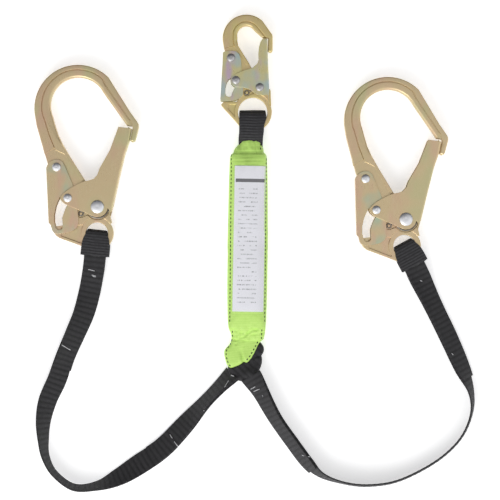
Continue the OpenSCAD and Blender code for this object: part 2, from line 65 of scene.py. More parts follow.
def makeCamera():
    data = bpy.data.cameras.new("camera")
    data.sensor_width = cameraSet["sensor"]
    data.lens = cameraSet["sensor"] * (cameraSet["height"] - cameraSet["level"]) / cameraSet["span"]
    camera = bpy.data.objects.new("camera", data)
    camera.location = (*cameraSet["aim"], cameraSet["height"])
    scene.collection.objects.link(camera)
    scene.camera = camera


makeCamera()


# small makers used by every piece
mm = 0.001
ribbonEdge = {"fade": 0.002, "points": 3}  # how far in the ribs fade out, and the points round a selvedge


def addPiece(name, mesh, material=None):
    piece = bpy.data.objects.new(name, mesh)
    scene.collection.objects.link(piece)
    if material:
        mesh.materials.append(material)
    return piece


def smoothShade(mesh, angle=40):
    mesh.polygons.foreach_set("use_smooth", [True] * len(mesh.polygons))
    mesh.set_sharp_from_angle(angle=math.radians(angle))


def skin(bm, rings, uvs=None, closed=True, capped=True):
    layer = bm.loops.layers.uv.verify()
    made = [[bm.verts.new(p) for p in ring] for ring in rings]
    count = len(made[0])
    for k in range(len(made) - 1):
        for i in range(count if closed else count - 1):
            j = (i + 1) % count
            face = bm.faces.new((made[k][i], made[k][j], made[k + 1][j], made[k + 1][i]))
            if uvs:
                spots = (uvs[k][i], uvs[k][j], uvs[k + 1][j], uvs[k + 1][i])
                for loop, spot in zip(face.loops, spots):
                    loop[layer].uv = spot
    if capped:
        bm.faces.new(list(reversed(made[0])))
        bm.faces.new(made[-1])
    return made


def toMesh(name, bm, angle=40):
    bmesh.ops.recalc_face_normals(bm, faces=bm.faces)
    mesh = bpy.data.meshes.new(name)
    bm.to_mesh(mesh)
    bm.free()
    smoothShade(mesh, angle)
    return mesh


def bake(piece):
    graph = bpy.context.evaluated_depsgraph_get()
    mesh = bpy.data.meshes.new_from_object(piece.evaluated_get(graph), depsgraph=graph)
    piece.modifiers.clear()
    piece.data = mesh
    return mesh


def spline(points, t, k):
    a, b, c, d = points[max(k - 1, 0)], points[k], points[k + 1], points[min(k + 2, len(points) - 1)]
    return [
        0.5 * (2 * q + (r - p) * t + (2 * p - 5 * q + 4 * r - s) * t * t + (3 * q - p - 3 * r + s) * t ** 3)
        for p, q, r, s in zip(a, b, c, d)
    ]


def smoothLine(points, step):
    line = []
    for k in range(len(points) - 1):
        gap = math.dist(points[k][:3], points[k + 1][:3])
        count = max(1, round(gap / step))
        line += [spline(points, i / count, k) for i in range(count)]
    return line + [list(points[-1])]


def surfaceOf(*pieces):
    graph = bpy.context.evaluated_depsgraph_get()
    spots, faces = [], []
    for piece in pieces:
        shape = piece.evaluated_get(graph).to_mesh()
        faces += [[i + len(spots) for i in face.vertices] for face in shape.polygons]
        spots += [v.co.copy() for v in shape.vertices]
    return BVHTree.FromPolygons(spots, faces)


def dropOn(tree, x, y, lift=0.0, above=0.08):
    spot = tree.ray_cast(Vector((x, y, above)), Vector((0, 0, -1)))[0]
    return None if spot is None else spot + Vector((0, 0, lift))


def wrinkle(x, y, across, along, seed):
    return noise.noise(Vector((x * across, y * along, seed)))


def ribbonRing(sample, cloth):  # a section across webbing, ribbed on both faces, and its UV spots
    half, r = sample["width"] / 2, cloth["thick"] / 2
    ring, spots = [], []

    def add(a, height):
        ring.append(sample["at"] + sample["across"] * a + sample["up"] * height)
        spots.append((a + half, sample["run"]))

    for sign in (1, -1):
        for i in range(cloth["flat"]):
            a = sign * (half - r) * (1 - 2 * i / (cloth["flat"] - 1))
            fade = sample["high"] * min(1.0, (half - abs(a)) / ribbonEdge["fade"])
            drift = cloth["slant"] * a + cloth["bow"] * a * a
            drift += cloth["wander"] * wrinkle(sample["run"], a, *cloth["grain"])
            rib = abs(math.sin(math.pi * (sample["run"] + drift) / cloth["rib"]))
            add(a, sign * (r - cloth["ribHigh"] * (1 - fade * rib)))
        for i in range(1, ribbonEdge["points"] + 1):
            turn = math.pi * i / (ribbonEdge["points"] + 1)
            add(-sign * (half - r + r * math.sin(turn)), sign * r * math.cos(turn))
    return ring, spots


# shader parts that several finishes share
def newGroup(name, inputs, outputs):
    tree = bpy.data.node_groups.new(name, "ShaderNodeTree")
    for label, kind, value in inputs:
        tree.interface.new_socket(label, in_out="INPUT", socket_type=kind).default_value = value
    for label, kind in outputs:
        tree.interface.new_socket(label, in_out="OUTPUT", socket_type=kind)
    return tree, tree.nodes.new("NodeGroupInput").outputs, tree.nodes.new("NodeGroupOutput").inputs


def feed(tree, node, socket, value):
    if isinstance(value, bpy.types.NodeSocket):
        tree.links.new(value, node.inputs[socket])
    elif value is not None:
        node.inputs[socket].default_value = value


def calc(tree, kind, a, b=None, c=None):
    node = tree.nodes.new("ShaderNodeMath")
    node.operation = kind
    for socket, value in enumerate((a, b, c)):
        feed(tree, node, socket, value)
    return node.outputs[0]


def mixed(tree, share, a, b):
    node = tree.nodes.new("ShaderNodeMix")
    node.data_type = "RGBA"
    for socket, value in ((0, share), (6, a), (7, b)):
        feed(tree, node, socket, value)
    return node.outputs[2]


def clouds(tree, place, scale, detail=2.0, rough=0.5):
    node = tree.nodes.new("ShaderNodeTexNoise")
    feed(tree, node, "Vector", place)
    for socket, value in (("Scale", scale), ("Detail", detail), ("Roughness", rough)):
        feed(tree, node, socket, value)
    return node.outputs[0]


def remap(tree, value, low, high, toLow=0.0, toHigh=1.0):
    node = tree.nodes.new("ShaderNodeMapRange")
    node.interpolation_type = "SMOOTHSTEP"
    for socket, item in enumerate((value, low, high, toLow, toHigh)):
        feed(tree, node, socket, item)
    return node.outputs[0]


def stretched(tree, place, scale):
    node = tree.nodes.new("ShaderNodeMapping")
    feed(tree, node, "Vector", place)
    node.inputs["Scale"].default_value = scale
    return node.outputs[0]


def makePlating():
    tree, given, out = newGroup(
        "zinc plating",
        [
            ("Place", "NodeSocketVector", (0, 0, 0)),
            ("Gold", "NodeSocketColor", (0.5, 0.4, 0.2, 1)),
            ("Green", "NodeSocketColor", (0.5, 0.5, 0.2, 1)),
            ("Pink", "NodeSocketColor", (0.5, 0.3, 0.3, 1)),
            ("Patch Scale", "NodeSocketFloat", 30.0),
            ("Rainbow", "NodeSocketFloat", 0.5),
        ],
        [("Color", "NodeSocketColor"), ("Roughness", "NodeSocketFloat"), ("Height", "NodeSocketFloat")],
    )
    place = given["Place"]
    wide = clouds(tree, place, given["Patch Scale"], 1.5)
    second = clouds(tree, stretched(tree, place, (1.7, 0.6, 1.0)), given["Patch Scale"], 2.0)
    grit = clouds(tree, place, 2600.0, 3.0, 0.7)
    brushed = clouds(tree, stretched(tree, place, (1400, 160, 400)), 1.0, 2.0)
    greenShare = calc(tree, "MULTIPLY", remap(tree, wide, 0.4, 0.75), given["Rainbow"])
    pinkShare = calc(tree, "MULTIPLY", remap(tree, second, 0.45, 0.78), given["Rainbow"])
    tint = mixed(tree, greenShare, given["Gold"], given["Green"])
    tint = mixed(tree, pinkShare, tint, given["Pink"])
    specks = remap(tree, grit, 0.35, 0.7, 0.0, 0.16)
    streaks = remap(tree, brushed, 0.5, 0.8, 0.0, 0.12)
    shade = mixed(tree, streaks, mixed(tree, specks, tint, (0.16, 0.12, 0.06, 1)), (0.95, 0.9, 0.75, 1))
    worn = remap(tree, wide, 0.3, 0.7, 0.0, 0.1)
    rough = calc(tree, "ADD", worn, remap(tree, brushed, 0.3, 0.7, 0.26, 0.4))
    height = calc(tree, "ADD", calc(tree, "MULTIPLY", grit, 0.6), brushed)
    for label, value in (("Color", shade), ("Roughness", rough), ("Height", height)):
        tree.links.new(value, out[label])
    return tree


def makeWeave():
    tree, given, out = newGroup(
        "woven yarn",
        [
            ("Place", "NodeSocketVector", (0, 0, 0)),
            ("Valley Shade", "NodeSocketColor", (0.01, 0.01, 0.01, 1)),
            ("Crest Highlight", "NodeSocketColor", (0.05, 0.05, 0.05, 1)),
            ("Rib Pitch", "NodeSocketFloat", 0.006),
            ("Yarn Pitch", "NodeSocketFloat", 0.0012),
            ("Rib Share", "NodeSocketFloat", 0.6),
        ],
        [("Color", "NodeSocketColor"), ("Roughness", "NodeSocketFloat"), ("Height", "NodeSocketFloat")],
    )
    split = tree.nodes.new("ShaderNodeSeparateXYZ")
    tree.links.new(given["Place"], split.inputs[0])
    across, along = split.outputs[0], split.outputs[1]
    uneven = clouds(tree, given["Place"], 260.0, 2.0)
    lint = clouds(tree, given["Place"], 3200.0, 3.0, 0.7)

    def wave(value, pitch):
        turns = calc(tree, "MULTIPLY", calc(tree, "DIVIDE", value, pitch), math.pi)
        return calc(tree, "ABSOLUTE", calc(tree, "SINE", turns))

    # painted light: rib crests and raised yarns are tinted toward the lighter crest colour, a painted
    # highlight, and the valleys toward the darker valley colour, painted shade; the uneven noise varies
    # this at random
    rib = wave(calc(tree, "ADD", along, calc(tree, "MULTIPLY", uneven, 0.0007)), given["Rib Pitch"])
    weft = wave(along, calc(tree, "MULTIPLY", given["Yarn Pitch"], 0.9))
    twill = wave(calc(tree, "ADD", across, calc(tree, "MULTIPLY", along, 0.5)), given["Yarn Pitch"])
    yarn = calc(tree, "MULTIPLY", twill, calc(tree, "ADD", calc(tree, "MULTIPLY", weft, 0.4), 0.6))
    ribPart = calc(tree, "MULTIPLY", rib, given["Rib Share"])
    rest = calc(tree, "MULTIPLY", yarn, calc(tree, "SUBTRACT", 1.0, given["Rib Share"]))
    dirt = remap(tree, uneven, 0.25, 0.75, 0.75, 1.15)
    light = calc(tree, "MULTIPLY", calc(tree, "ADD", ribPart, rest), dirt)
    cloth = mixed(tree, light, given["Valley Shade"], given["Crest Highlight"])
    tint = mixed(tree, remap(tree, lint, 0.6, 0.85, 0.0, 0.3), cloth, given["Crest Highlight"])
    rough = remap(tree, yarn, 0.0, 1.0, 0.95, 0.68)
    height = calc(tree, "ADD", yarn, calc(tree, "MULTIPLY", lint, 0.3))
    for label, value in (("Color", tint), ("Roughness", rough), ("Height", height)):
        tree.links.new(value, out[label])
    return tree


groups = {"plating": makePlating(), "weave": makeWeave()}


def finish(name, group, values, shader=None, place="Object", bump=0.0004, strength=0.3):
    made = bpy.data.materials.new(name)
    made.use_nodes = True
    tree = made.node_tree
    main = tree.nodes["Principled BSDF"]
    spot = tree.nodes.new("ShaderNodeTexCoord").outputs[place]
    node = tree.nodes.new("ShaderNodeGroup")
    node.node_tree = group
    tree.links.new(spot, node.inputs["Place"])
    for label, value in values.items():
        node.inputs[label].default_value = value
    tree.links.new(node.outputs["Color"], main.inputs["Base Color"])
    tree.links.new(node.outputs["Roughness"], main.inputs["Roughness"])
    relief = tree.nodes.new("ShaderNodeBump")
    relief.inputs["Distance"].default_value = bump
    relief.inputs["Strength"].default_value = strength
    tree.links.new(node.outputs["Height"], relief.inputs["Height"])
    tree.links.new(relief.outputs[0], main.inputs["Normal"])
    for label, value in (shader or {}).items():
        main.inputs[label].default_value = value
    return made


def tones(gold, green, pink):  # the plating's main tint and the two that drift over it
    return {"Gold": (*gold, 1), "Green": (*green, 1), "Pink": (*pink, 1)}


def plated(name, tint, patches=30.0, rainbow=0.5, bump=0.00002):
    values = tint | {"Patch Scale": patches, "Rainbow": rainbow}
    return finish(name, groups["plating"], values, {"Metallic": 1.0}, bump=bump)


# valley and crest are the weave's painted shade and painted highlight tints
def woven(name, valleyShade, crestHighlight, rib, share=0.6, yarn=0.0012, **rest):
    values = {"Valley Shade": (*valleyShade, 1), "Crest Highlight": (*crestHighlight, 1)}
    values |= {"Rib Pitch": rib, "Rib Share": share, "Yarn Pitch": yarn}
    return finish(name, groups["weave"], values, **rest)


golden = tones((0.72, 0.57, 0.34), (0.60, 0.60, 0.33), (0.76, 0.50, 0.36))
sheetGold = tones((0.72, 0.57, 0.34), (0.50, 0.60, 0.44), (0.76, 0.50, 0.36))
warmGold = tones((0.76, 0.61, 0.29), (0.72, 0.66, 0.28), (0.78, 0.53, 0.38))
iridescent = tones((0.72, 0.66, 0.34), (0.50, 0.62, 0.60), (0.66, 0.50, 0.62))
brightSteel = tones((0.82, 0.83, 0.86), (0.70, 0.72, 0.76), (0.88, 0.88, 0.90))
dullSteel = tones((0.50, 0.49, 0.50), (0.42, 0.43, 0.44), (0.60, 0.57, 0.58))
wireSteel = tones((0.30, 0.28, 0.25), (0.25, 0.25, 0.24), (0.38, 0.34, 0.30))
clearTones = tones((0.95, 0.96, 0.97), (0.90, 0.92, 0.94), (1, 1, 1))
# black yarn's own colour, also used as the painted shade in the rib valleys
blackYarnValleyShade = (0.003, 0.003, 0.0035)
softSheen = {"Sheen Weight": 0.06, "Sheen Roughness": 0.5}
slickCoat = {"Coat Weight": 0.35, "Coat Roughness": 0.3}
looks = {
    "zinc_gold": plated("yellow zinc", golden, rainbow=0.7, bump=0.00005),
    "zinc_warm": plated("warm zinc", warmGold, patches=40.0, bump=0.00005),
    "zinc_iridescent": plated("rainbow zinc", iridescent, patches=46.0, rainbow=1.0, bump=0.00004),
    "zinc_sheet": plated("zinc on sheet", sheetGold, patches=40.0, rainbow=1.0, bump=0.00003),
    "bright_rivet": plated("bright rivet", brightSteel, rainbow=0.4),
    "dark_rivet": plated("dull rivet", dullSteel),
    "spring_wire": plated("spring wire", wireSteel),
    # each woven finish below takes a darker valley tint, painted shade, and a lighter crest tint, painted
    # highlight
    "black_webbing": woven(
        "black webbing", blackYarnValleyShade, (0.03, 0.029, 0.032), 0.0062, 0.7,
        shader=softSheen, place="UV", bump=0.0003, strength=0.6),
    "black_flat": woven(
        "black close weave", blackYarnValleyShade, (0.045, 0.044, 0.048), 0.0033, 0.8,
        shader=softSheen, place="UV", bump=0.0003, strength=0.5),
    "raw_webbing": woven("raw webbing", (0.5, 0.48, 0.42), (0.85, 0.83, 0.76), 0.003),
    "lime_fabric": woven(
        "lime cover", (0.42, 0.74, 0.11), (0.66, 0.93, 0.25), 0.0021, 0.35, 0.0009,
        shader=slickCoat, place="UV", bump=0.0002, strength=0.4),
    "seam_thread": woven("seam thread", (0.015, 0.035, 0.01), (0.03, 0.07, 0.018), 0.0009),
    "white_thread": woven("white thread", (0.5, 0.5, 0.52), (0.9, 0.9, 0.92), 0.0009),
}
print("stage: finishes ready")


# legs: flat webbing, doubled by a second ply near the pack and the hooks
ply = {
    "width": 0.026, "thick": 0.0024, "lay": 0.00005, "step": 0.001, "flat": 13,
    "rib": 0.0062, "ribHigh": 0.00042, "pressed": 0.45, "slant": 0.06, "bow": 0.0,
    "wander": 0.0009, "grain": (70, 50, 0), "splay": 0.0022, "splayRun": 0.045,
}
leftRoute = [  # x, y, z, roll of the ribbon, plies
    (-0.018, -0.160, 0.012, 46, 2), (-0.034, -0.176, 0.013, 60, 2), (-0.053, -0.196, 0.013, 60, 2),
    (-0.076, -0.222, 0.0106, 38, 2), (-0.102, -0.249, 0.0087, 27, 2), (-0.130, -0.269, 0.0068, 21, 1),
    (-0.155, -0.284, 0.0105, 43, 1), (-0.180, -0.294, 0.0135, 71, 1), (-0.208, -0.296, 0.014, 80, 1),
    (-0.231, -0.280, 0.014, 82, 1), (-0.242, -0.260, 0.014, 77, 1), (-0.245, -0.239, 0.0135, 67, 1),
    (-0.245, -0.216, 0.012, 53, 1), (-0.240, -0.192, 0.0095, 37, 1), (-0.229, -0.167, 0.0085, 31, 1),
    (-0.219, -0.140, 0.0105, 38, 2), (-0.207, -0.112, 0.010, 32, 2), (-0.197, -0.088, 0.0085, 22, 2),
    (-0.190, -0.062, 0.008, 8, 2), (-0.185, -0.036, 0.011, 0, 2), (-0.1825, -0.014, 0.013, 0, 2),
]
rightRoute = [
    (0.004, -0.162, 0.0176, 12, 2), (0.015, -0.180, 0.015, 44, 2), (0.033, -0.213, 0.013, 57, 2),
    (0.054, -0.243, 0.013, 58, 2), (0.072, -0.267, 0.013, 60, 2), (0.088, -0.281, 0.0135, 72, 1),
    (0.112, -0.290, 0.014, 80, 1), (0.141, -0.294, 0.014, 80, 1), (0.175, -0.290, 0.014, 80, 1),
    (0.208, -0.276, 0.014, 80, 1), (0.237, -0.257, 0.014, 80, 1), (0.258, -0.234, 0.014, 80, 1),
    (0.269, -0.206, 0.014, 79, 1), (0.268, -0.180, 0.013, 70, 1), (0.257, -0.151, 0.0115, 45, 2),
    (0.241, -0.115, 0.0105, 36, 2), (0.226, -0.084, 0.010, 34, 2), (0.213, -0.057, 0.0095, 22, 2),
    (0.203, -0.036, 0.0115, 0, 2), (0.1986, -0.0264, 0.013, 0, 2),
]
legs = {
    "left": {"route": leftRoute, "length": 0.55, "bend": -0.03},
    "right": {"route": rightRoute, "length": 0.565, "bend": 0.03},
}


def legSamples(route):
    line = smoothLine(route, ply["step"])
    samples, run = [], 0.0
    for k, point in enumerate(line):
        back, ahead = line[max(k - 1, 0)], line[min(k + 1, len(line) - 1)]
        heading = Vector((ahead[0] - back[0], ahead[1] - back[1], 0)).normalized()
        side = Vector((-heading.y, heading.x, 0))
        roll = math.radians(point[3])
        across = side * math.cos(roll) + Vector((0, 0, math.sin(roll)))
        up = Vector((0, 0, math.cos(roll))) - side * math.sin(roll)
        run += math.dist(point[:3], back[:3]) if k else 0.0
        samples.append({
            "at": Vector(point[:3]), "across": across, "up": up, "run": run,
            "plies": point[4], "width": ply["width"],
        })
    return samples


def makeLeg(side):  # the second ply lies on the first, and they part at the hook
    samples = legSamples(legs[side]["route"])
    total = samples[-1]["run"]
    pitch = ply["thick"] + ply["lay"]
    bm = bmesh.new()
    for upper in (False, True):
        stretches = [[]]
        for sample in samples:
            doubled = sample["plies"] > 1.5
            splay = ply["splay"] * max(0.0, 1 - (total - sample["run"]) / ply["splayRun"])
            lift = -(sample["plies"] - 1) * pitch / 2 - splay
            lift += pitch + 2 * splay if upper else 0.0
            if doubled or not upper:
                high = ply["pressed"] if doubled else 1.0
                laid = {"at": sample["at"] + sample["up"] * lift, "high": high}
                stretches[-1].append(ribbonRing(sample | laid, ply))
            elif stretches[-1]:
                stretches.append([])
        for stretch in filter(None, stretches):
            skin(bm, [ring for ring, _ in stretch], [spots for _, spots in stretch])
    leg = addPiece(side + "_leg_webbing", toMesh(side + "_leg_webbing", bm, 50), looks["black_webbing"])
    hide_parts(side + "_leg")
    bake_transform(leg)
    print("stage:", side, "leg, length", round(total, 4))
    return leg


legPieces = {side: makeLeg(side) for side in legs}


# hooks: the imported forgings, gates and locks with their real edge rounding
forging = {  # rims: over this height, the rounding toward the bowl and away from it
    "rims": [(0.0139, 0.0026, 0.0013), (0.0115, 0.0008, 0.0008), (0.0095, 0.0014, 0.001)],
    "edge": 0.0004, "plain": 0.0007, "below": -0.036,
}
snapForging = {
    "rims": [(0.0139, 0.0016, 0.0016), (0.0115, 0.0008, 0.0008), (0.0095, 0.0016, 0.001)],
    "edge": 0.0004, "plain": 0.0007, "below": -0.03,
}
sheetMetal = {"rims": [(0.015, 0.0019, 0.0019)], "edge": 0.0003, "plain": 0.0019, "below": -1.0}
faces = {"level": 0.9, "wall": 0.3, "sharp": 30, "steps": 4}  # tilt of a flat or wall, and a rim's steps


def edgeWidth(edge, rounding, bowl):
    if len(edge.link_faces) != 2 or edge.calc_face_angle(0) < math.radians(faces["sharp"]):
        return 0.0
    flat = [f for f in edge.link_faces if abs(f.normal.z) > faces["level"]]
    wall = [f for f in edge.link_faces if abs(f.normal.z) < faces["wall"]]
    if len(flat) == 1 and len(wall) == 1:
        levels = [v.co.z for v in wall[0].verts]
        middle = (edge.verts[0].co + edge.verts[1].co) / 2
        inward = (bowl - middle).xy.dot(wall[0].normal.xy) > 0
        for height, inner, outer in rounding["rims"]:
            if max(levels) - min(levels) > height:
                plain = middle.y < bowl.y + rounding["below"]
                return rounding["plain"] if plain else inner if inward else outer
    return rounding["edge"]


def insideRims(lines, fills, sources):  # the fills reached from outside over an odd number of rims
    rims = {frozenset(line) for line, source in zip(lines, sources) if source}
    beside = {}
    for k, fill in enumerate(fills):
        for pair in zip(fill, fill[1:] + fill[:1]):
            beside.setdefault(frozenset(pair), []).append(k)
    state = {}
    queue = [(owners[0], edge in rims) for edge, owners in beside.items() if len(owners) == 1]
    while queue:
        k, inside = queue.pop()
        if k not in state:
            state[k] = inside
            for pair in zip(fills[k], fills[k][1:] + fills[k][:1]):
                edge = frozenset(pair)
                queue += [(other, inside != (edge in rims)) for other in beside[edge] if other not in state]
    return [fill for k, fill in enumerate(fills) if state.get(k)]


def relayFlats(piece):  # the flats are laid again between their rounded rims
    bm = bmesh.new()
    bm.from_mesh(piece.data)
    levels = {}
    for face in bm.faces:
        heights = [v.co.z for v in face.verts]
        if max(heights) - min(heights) < 0.002 * mm:
            levels.setdefault(round(heights[0], 5), []).append(face)
    for level, flats in levels.items():
        chosen = set(flats)
        facing = sum(f.normal.z * f.calc_area() for f in flats)
        edges = {e for f in flats for e in f.edges}
        rims = [e for e in edges if sum(f in chosen for f in e.link_faces) % 2]
        spots = list({v for e in rims for v in e.verts})
        order = {v: i for i, v in enumerate(spots)}
        pairs = [(order[e.verts[0]], order[e.verts[1]]) for e in rims]
        bmesh.ops.delete(bm, geom=flats, context="FACES_ONLY")
        flat = [v.co.xy / mm for v in spots]
        corners, lines, fills, sources, held, _ = geometry.delaunay_2d_cdt(flat, pairs, [], 0, 0.00001)
        made = [
            spots[source[0]] if source else bm.verts.new((corner.x * mm, corner.y * mm, level))
            for corner, source in zip(corners, sources)
        ]
        for fill in insideRims(lines, [list(fill) for fill in fills], held):
            ring = fill if facing > 0 else reversed(fill)
            bm.faces.new([made[i] for i in ring])
    loose = [e for e in bm.edges if not e.link_faces]
    bmesh.ops.delete(bm, geom=loose, context="EDGES")
    bm.to_mesh(piece.data)
    bm.free()


def polished(node, body, look, rounding=None, bowl=Vector((0, 0, 0))):
    source = frame["nodes"][node].data
    bm = bmesh.new()
    spots = [bm.verts.new(v.co) for v in source.vertices]
    for face in source.polygons:
        bm.faces.new([spots[i] for i in face.vertices])
    bmesh.ops.remove_doubles(bm, verts=bm.verts, dist=0.000004)
    if rounding:
        walls = [e for e in bm.edges if all(abs(f.normal.z) < faces["wall"] for f in e.link_faces)]
        bmesh.ops.dissolve_limit(bm, angle_limit=math.radians(0.5), verts=[], edges=walls)
        layer = bm.edges.layers.float.new("bevel_weight_edge")
        widest = max([r[1] for r in rounding["rims"]] + [rounding["edge"]])
        for edge in bm.edges:
            edge[layer] = edgeWidth(edge, rounding, bowl) / widest
    piece = addPiece(node + "_metal", toMesh(node + "_metal", bm))
    if rounding:
        bevel = piece.modifiers.new("edges", "BEVEL")
        bevel.limit_method, bevel.width, bevel.segments = "WEIGHT", widest, faces["steps"]
        bevel.use_clamp_overlap = False
        bake(piece)
        relayFlats(piece)
        smoothShade(piece.data, 38)
        piece.modifiers.new("shading", "WEIGHTED_NORMAL").keep_sharp = True
    piece.data.materials.clear()
    piece.data.materials.append(looks[look])
    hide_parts(node)
    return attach(piece, body)


rivetShape = {
    "dome": 0.0025, "lip": 0.0006, "steps": 10, "around": 40, "dimple": 0.0002, "stem": 0.46, "under": 0.97,
    "crown": 0.985,
}


def makeRivet(node, body, slot):
    low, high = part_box(node)
    middle, r = (low + high) / 2, (high.x - low.x) / 2
    seat = high.z - middle.z - rivetShape["dome"]
    stem, lip = r * rivetShape["stem"], seat + rivetShape["lip"]
    profile = [(stem, 0.0), (stem, seat), (r * rivetShape["under"], seat), (r, (seat + lip) / 2), (r, lip)]
    for i in range(1, rivetShape["steps"] + 1):
        turn = math.pi / 2 * i / rivetShape["steps"]
        sink = rivetShape["dimple"] * max(0.0, 1 - 3 * math.cos(turn))
        crown = (rivetShape["dome"] - rivetShape["lip"]) * math.sin(turn)
        profile.append((r * rivetShape["crown"] * math.cos(turn) + 0.02 * mm, lip + crown - sink))
    full = [(a, -b) for a, b in reversed(profile[1:])] + profile
    bm = bmesh.new()
    turns = [2 * math.pi * i / rivetShape["around"] for i in range(rivetShape["around"])]
    skin(bm, [[middle + Vector((a * math.cos(t), a * math.sin(t), b)) for t in turns] for a, b in full])
    piece = addPiece(node + "_head", toMesh(node + "_head", bm, 50), looks[slot])
    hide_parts(node)
    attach(piece, body)


rebarKind = {
    "rounding": forging, "bowlBack": 0.075, "swing": "_hook_swing",
    "body": "zinc_gold", "gate": "zinc_gold", "lock": "zinc_sheet", "rivet": "bright_rivet",
}
snapKind = {
    "rounding": snapForging, "bowlBack": 0.030, "swing": "_swing",
    "body": "zinc_warm", "gate": "zinc_iridescent", "lock": "zinc_iridescent", "rivet": "dark_rivet",
}
hookKinds = {"snap": snapKind, "left": rebarKind, "right": rebarKind}


def makeHook(side, kind):
    eye = Vector(joints[side + kind["swing"]]["pos_m"])
    low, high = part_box(side + "_body")
    bowl = Vector(((low.x + high.x) / 2, high.y - kind["bowlBack"], eye.z))
    hook = side + "_hook"
    polished(side + "_body", hook, kind["body"], kind["rounding"], bowl)
    polished(side + "_gate", side + "_gate", kind["gate"], sheetMetal)
    polished(side + "_lock", side + "_lock", kind["lock"], sheetMetal)
    for pivot, body in (("_gate_pivot", hook), ("_lock_pivot", hook), ("_link_rivet", side + "_gate")):
        makeRivet(side + pivot, body, kind["rivet"])
    for spring in ("_gate_springs", "_lock_spring"):
        polished(side + spring, hook, "spring_wire")


for side, kind in hookKinds.items():
    makeHook(side, kind)
print("stage: hooks")


# pack cover: a sleeve drawn in at both ends, filled out from inside by the folded webbing
cover = {
    "sections": [  # y, left, right, bottom and top in millimetres
        (121, -9.5, 17.5, 8, 18), (118, -11, 18, 7, 18.5), (112, -14, 18.3, 5.5, 20),
        (108, -16.5, 18.8, 4, 21.5), (105.5, -18.5, 20.5, 3, 23), (103.5, -20.8, 23.2, 1, 25.4),
        (100, -21.6, 24, 0, 26), (0, -23, 23, 0, 26),
        (-100, -24, 22.6, 0, 26), (-104, -23.8, 22.4, 0.4, 25.4), (-107, -21.8, 21.6, 2, 23.5),
        (-110, -20.2, 20.6, 3.2, 21.5), (-115, -19.6, 20, 4, 20), (-121, -19.6, 19.8, 4.5, 19),
    ],
    "end": 121, "around": 60, "ring": 3, "corner": 5.5, "shrink": 0.7, "held": 107, "seam": 20.9,
    "floor": 0.2,
}
cloth = {"pressure": 5.0, "mass": 0.3, "stiff": 18.0, "bend": 0.6, "frames": 20, "cap": 0.0022}


def between(table, y):
    for high, low in zip(table, table[1:]):
        if low[0] <= y <= high[0]:
            share = (high[0] - y) / (high[0] - low[0])
            return [a + (b - a) * share for a, b in zip(high[1:], low[1:])]
    return list(table[-1][1:])


def roundedBox(left, right, low, high, corner, count):
    r = min(corner, (right - left) / 2.02, (high - low) / 2.02)
    middles = ((right - r, low + r), (right - r, high - r), (left + r, high - r), (left + r, low + r))
    line = []
    for quarter, (x, z) in enumerate(middles):
        for i in range(13):
            t = math.pi / 2 * (quarter - 1 + i / 12)
            line.append((x + r * math.cos(t), z + r * math.sin(t)))
    return evenly(line, count)


def evenly(line, count):
    runs = [0.0]
    for a, b in zip(line, line[1:] + line[:1]):
        runs.append(runs[-1] + math.dist(a, b))
    made, k = [], 0
    for i in range(count):
        target = runs[-1] * i / count
        while runs[k + 1] < target:
            k += 1
        share = (target - runs[k]) / max(runs[k + 1] - runs[k], 1e-9)
        a, b = line[k], line[(k + 1) % len(line)]
        made.append(tuple(p + (q - p) * share for p, q in zip(a, b)))
    return made


def inflate(piece, held):
    start = [v.co.copy() for v in piece.data.vertices]
    group = piece.vertex_groups.new(name="held")
    group.add([v.index for v in piece.data.vertices if held(v.co)], 1.0, "REPLACE")
    soft = piece.modifiers.new("cloth", "CLOTH")
    soft.settings.mass = cloth["mass"]
    soft.settings.tension_stiffness = soft.settings.compression_stiffness = cloth["stiff"]
    soft.settings.bending_stiffness = cloth["bend"]
    soft.settings.use_pressure = True
    soft.settings.uniform_pressure_force = cloth["pressure"]
    soft.settings.effector_weights.gravity = 0
    soft.settings.vertex_group_mass = "held"
    soft.point_cache.frame_start, soft.point_cache.frame_end = 1, cloth["frames"]
    for moment in range(1, cloth["frames"] + 1):
        scene.frame_set(moment)
    bake(piece)
    scene.frame_set(1)
    for vertex, home in zip(piece.data.vertices, start):
        move = vertex.co - home
        vertex.co = home + move * min(1.0, cloth["cap"] / max(move.length, 1e-9))


def subdivide(piece):
    piece.modifiers.new("finer", "SUBSURF").levels = 1
    bake(piece)
    smoothShade(piece.data, 60)


def ridge(value, middle, width):
    return math.exp(-(((value - middle) / width) ** 2))


def seamLine(y, side):
    return 0.65 + 0.0095 * y + side * cover["seam"]


creases = [  # folds where the sleeve's foot is gathered, with their depth
    ([(-19, -119.5), (-12, -118.5), (-4.7, -115.8), (0, -111), (3.9, -108), (11.8, -106.7)], 1.5),
    ([(-17, -107), (-10, -109.5), (-4, -111)], 1.0), ([(5, -113), (11, -111.5), (17, -112)], 0.9),
    ([(-14, -124), (-9, -120.5), (-3, -119)], 0.7), ([(6, -104.5), (13, -109), (19, -110.5)], 0.8),
]


def nearLine(x, y, ax, ay, bx, by):
    wide, tall = bx - ax, by - ay
    share = max(0.0, min(1.0, ((x - ax) * wide + (y - ay) * tall) / (wide ** 2 + tall ** 2)))
    return math.hypot(x - ax - wide * share, y - ay - tall * share), share


def folded(x, y):
    sunk = 0.0
    for line, deep in creases:
        far = min(nearLine(x, y, *a, *b)[0] for a, b in zip(line, line[1:]))
        sunk -= deep * math.exp(-((far / 1.1) ** 2)) - 0.35 * deep * math.exp(-(((far - 2.4) / 1.2) ** 2))
    return sunk


rucks = {  # all in millimetres
    "groove": 0.8, "grooveWide": 0.9, "from": 88, "sag": 0.25, "neck": (1.1, 0.5),
    "top": {"high": 0.28, "pitch": 4.6}, "foot": {"high": 0.34, "pitch": 2.9},
    "tuck": 105.5, "tuckWide": 1.4, "gathered": -103,
}


def ramp(value, run):
    return min(1.0, max(0.0, value / run))


